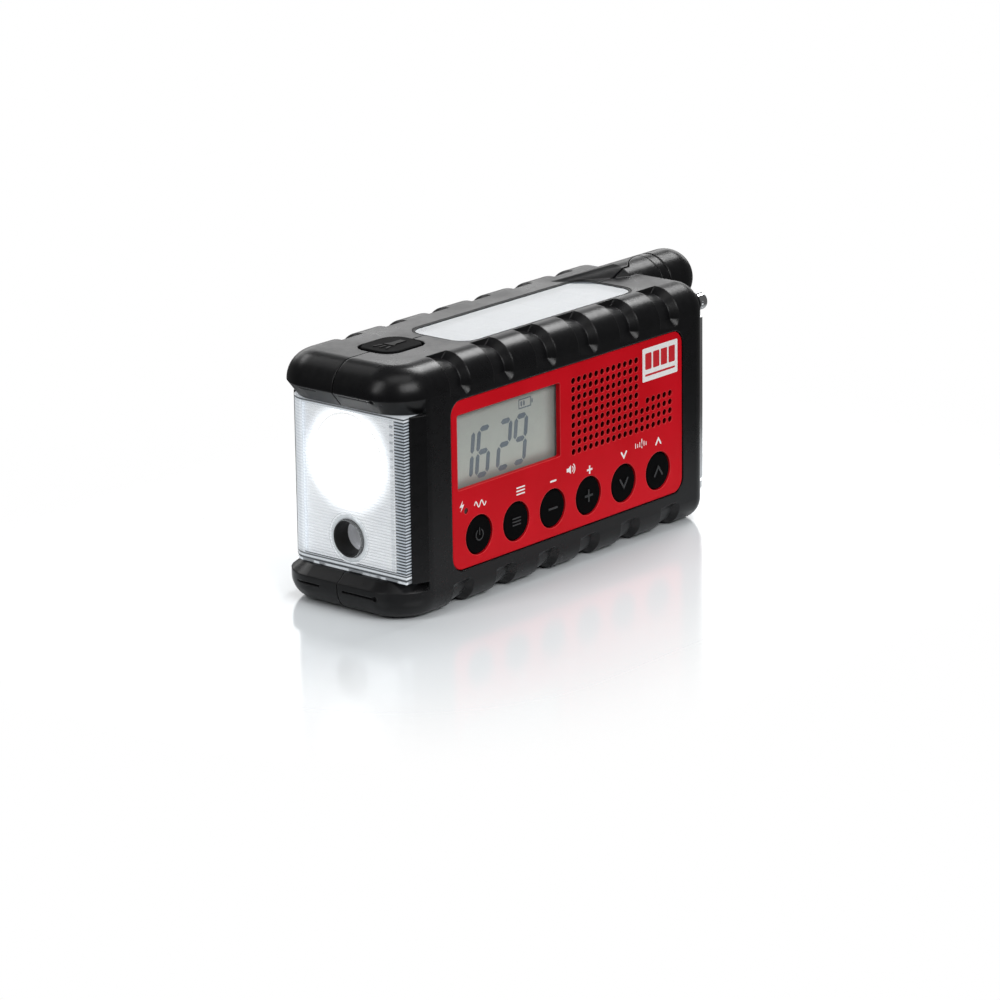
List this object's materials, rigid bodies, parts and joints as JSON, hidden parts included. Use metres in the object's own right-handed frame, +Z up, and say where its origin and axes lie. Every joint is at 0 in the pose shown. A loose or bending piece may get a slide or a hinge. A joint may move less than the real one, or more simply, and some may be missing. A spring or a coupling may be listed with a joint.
{
  "type": "emergency radio",
  "caption": "Rugged box-shaped hand-crank emergency radio with end flashlight, solar top, display, speaker grille, round keys, telescopic antenna and battery bay.",
  "frame": {"origin": "on the resting face, at mid-depth, below the middle of the front panel", "axes": "+X along the length towards the crank end, +Y from the front panel to the back, +Z up"},
  "size_m": [0.2095, 0.064, 0.0972],
  "materials": {
    "housing": "fine moulded texture, satin",
    "housing_rear": "fine moulded texture, satin",
    "panel_red": "semi-gloss red",
    "key_rubber": "matt silicone",
    "seal_rubber": "matt rubber",
    "clear": "clear moulded polycarbonate",
    "reflector": "vacuum metallised",
    "bezel_silver": "silvered ribbed plastic",
    "led": "LED resin on a white board",
    "display": "grey-green liquid crystal",
    "white_plastic": "natural white",
    "mesh_black": "black woven mesh",
    "cone_paper": "black paper cone",
    "plated_steel": "zinc plated",
    "magnet": "ferrite",
    "board": "green solder mask",
    "switch": "black tact switch",
    "solar": "dark blue cells on a board",
    "crank_plastic": "satin moulded",
    "brass": "turned",
    "chrome": "chromed brass",
    "gear_white": "natural acetal",
    "battery": "plain sleeve",
    "pack": "shrink-wrapped pouch"
  },
  "bodies": {
    "housing": {"front_housing": "housing", "rear_housing": "housing_rear", "seam_gasket": "seal_rubber", "front_panel": "panel_red", "display_window": "clear", "display_glass": "display", "display_frame": "white_plastic", "charge_light": "led", "speaker_mesh": "mesh_black", "speaker_frame": "plated_steel", "speaker_cone": "cone_paper", "speaker_magnet": "magnet", "main_board": "board", "keypad_mat": "key_rubber", "tact_switches": "switch", "lens_cover": "clear", "lamp_bezel": "bezel_silver", "lamp_reflector": "reflector", "lamp_led": "led", "siren_horn": "chrome", "siren_disc": "brass", "solar_gasket": "seal_rubber", "solar_cover": "clear", "solar_module": "solar", "crank_bushing": "brass", "dynamo_stator": "plated_steel", "gearbox_frame": "white_plastic", "antenna_base": "chrome", "battery_tray": "housing_rear", "aa_cells": "battery", "battery_contacts": "plated_steel", "lithium_pack": "pack", "usb_board": "board", "headphone_jack": "switch", "housing_screws": "plated_steel"},
    "crank": {"crank_arm": "crank_plastic", "crank_shaft": "plated_steel", "crank_screw": "plated_steel", "crank_gear": "gear_white", "knob_pin": "plated_steel"},
    "knob": {"crank_knob": "crank_plastic"},
    "idler": {"idler_gear": "gear_white"},
    "rotor": {"dynamo_rotor": "magnet", "dynamo_shaft": "plated_steel"},
    "antenna_swivel": {"antenna_knuckle": "chrome", "antenna_pin": "plated_steel"},
    "mast_1": {"antenna_section_1": "chrome"},
    "mast_2": {"antenna_section_2": "chrome"},
    "mast_3": {"antenna_section_3": "chrome"},
    "mast_4": {"antenna_section_4": "chrome"},
    "mast_tip": {"antenna_tip": "chrome"},
    "battery_door": {"battery_door": "housing_rear"},
    "port_cover": {"port_cover": "seal_rubber"},
    "light_button": {"light_button": "key_rubber"},
    "key_power": {"key_power": "key_rubber"},
    "key_menu": {"key_menu": "key_rubber"},
    "key_volume_down": {"key_volume_down": "key_rubber"},
    "key_volume_up": {"key_volume_up": "key_rubber"},
    "key_tune_down": {"key_tune_down": "key_rubber"},
    "key_tune_up": {"key_tune_up": "key_rubber"}
  },
  "joints": [
    {"name": "power_press", "type": "slide", "parent": "housing", "child": "key_power", "axis": [0, 1, 0], "range_m": [0, 0.001], "stiffness_N_per_m": 700, "springref_m": -0.0004},
    {"name": "menu_press", "type": "slide", "parent": "housing", "child": "key_menu", "axis": [0, 1, 0], "range_m": [0, 0.001], "stiffness_N_per_m": 700, "springref_m": -0.0004},
    {"name": "volume_down_press", "type": "slide", "parent": "housing", "child": "key_volume_down", "axis": [0, 1, 0], "range_m": [0, 0.001], "stiffness_N_per_m": 700, "springref_m": -0.0004},
    {"name": "volume_up_press", "type": "slide", "parent": "housing", "child": "key_volume_up", "axis": [0, 1, 0], "range_m": [0, 0.001], "stiffness_N_per_m": 700, "springref_m": -0.0004},
    {"name": "tune_down_press", "type": "slide", "parent": "housing", "child": "key_tune_down", "axis": [0, 1, 0], "range_m": [0, 0.001], "stiffness_N_per_m": 700, "springref_m": -0.0004},
    {"name": "tune_up_press", "type": "slide", "parent": "housing", "child": "key_tune_up", "axis": [0, 1, 0], "range_m": [0, 0.001], "stiffness_N_per_m": 700, "springref_m": -0.0004},
    {"name": "light_press", "type": "slide", "parent": "housing", "child": "light_button", "axis": [0, 0, -1], "range_m": [0, 0.001], "stiffness_N_per_m": 700, "springref_m": -0.0004},
    {"name": "crank_spin", "type": "hinge", "parent": "housing", "child": "crank", "pos_m": [0.089, 0.0155, 0.053], "axis": [1, 0, 0], "continuous": true},
    {"name": "knob_spin", "type": "hinge", "parent": "crank", "child": "knob", "pos_m": [0.1, 0.005, 0.0859], "axis": [1, 0, 0], "continuous": true},
    {"name": "idler_spin", "type": "hinge", "parent": "housing", "child": "idler", "pos_m": [0.065, 0.0019, 0.0428], "axis": [1, 0, 0], "continuous": true},
    {"name": "rotor_spin", "type": "hinge", "parent": "housing", "child": "rotor", "pos_m": [0.065, -0.00398, 0.02264], "axis": [1, 0, 0], "continuous": true},
    {"name": "antenna_swing", "type": "hinge", "parent": "housing", "child": "antenna_swivel", "pos_m": [0.086, -0.024, 0.0838], "axis": [1, 0, 0], "range_deg": [-180, 0]},
    {"name": "antenna_tilt", "type": "hinge", "parent": "antenna_swivel", "child": "mast_1", "pos_m": [0.086, -0.024, 0.0838], "axis": [0, -1, 0], "range_deg": [0, 90]},
    {"name": "mast_slide_1", "type": "slide", "parent": "mast_1", "child": "mast_2", "axis": [0, 0, -1], "range_m": [0, 0.052]},
    {"name": "mast_slide_2", "type": "slide", "parent": "mast_2", "child": "mast_3", "axis": [0, 0, -1], "range_m": [0, 0.052]},
    {"name": "mast_slide_3", "type": "slide", "parent": "mast_3", "child": "mast_4", "axis": [0, 0, -1], "range_m": [0, 0.052]},
    {"name": "mast_slide_4", "type": "slide", "parent": "mast_4", "child": "mast_tip", "axis": [0, 0, -1], "range_m": [0, 0.052]},
    {"name": "battery_door_hinge", "type": "hinge", "parent": "housing", "child": "battery_door", "pos_m": [-0.0188, 0.0308, 0.021], "axis": [-1, 0, 0], "range_deg": [0, 95]},
    {"name": "port_cover_hinge", "type": "hinge", "parent": "housing", "child": "port_cover", "pos_m": [0.021, 0.031, 0.051], "axis": [0, 0, 1], "range_deg": [0, 100], "stiffness_Nm_per_rad": 0.002, "springref_deg": -5.73}
  ],
  "couplings": [
    {"joint": "idler_spin", "follows": "crank_spin", "ratio": -2.4},
    {"joint": "rotor_spin", "follows": "crank_spin", "ratio": 7.68}
  ]
}
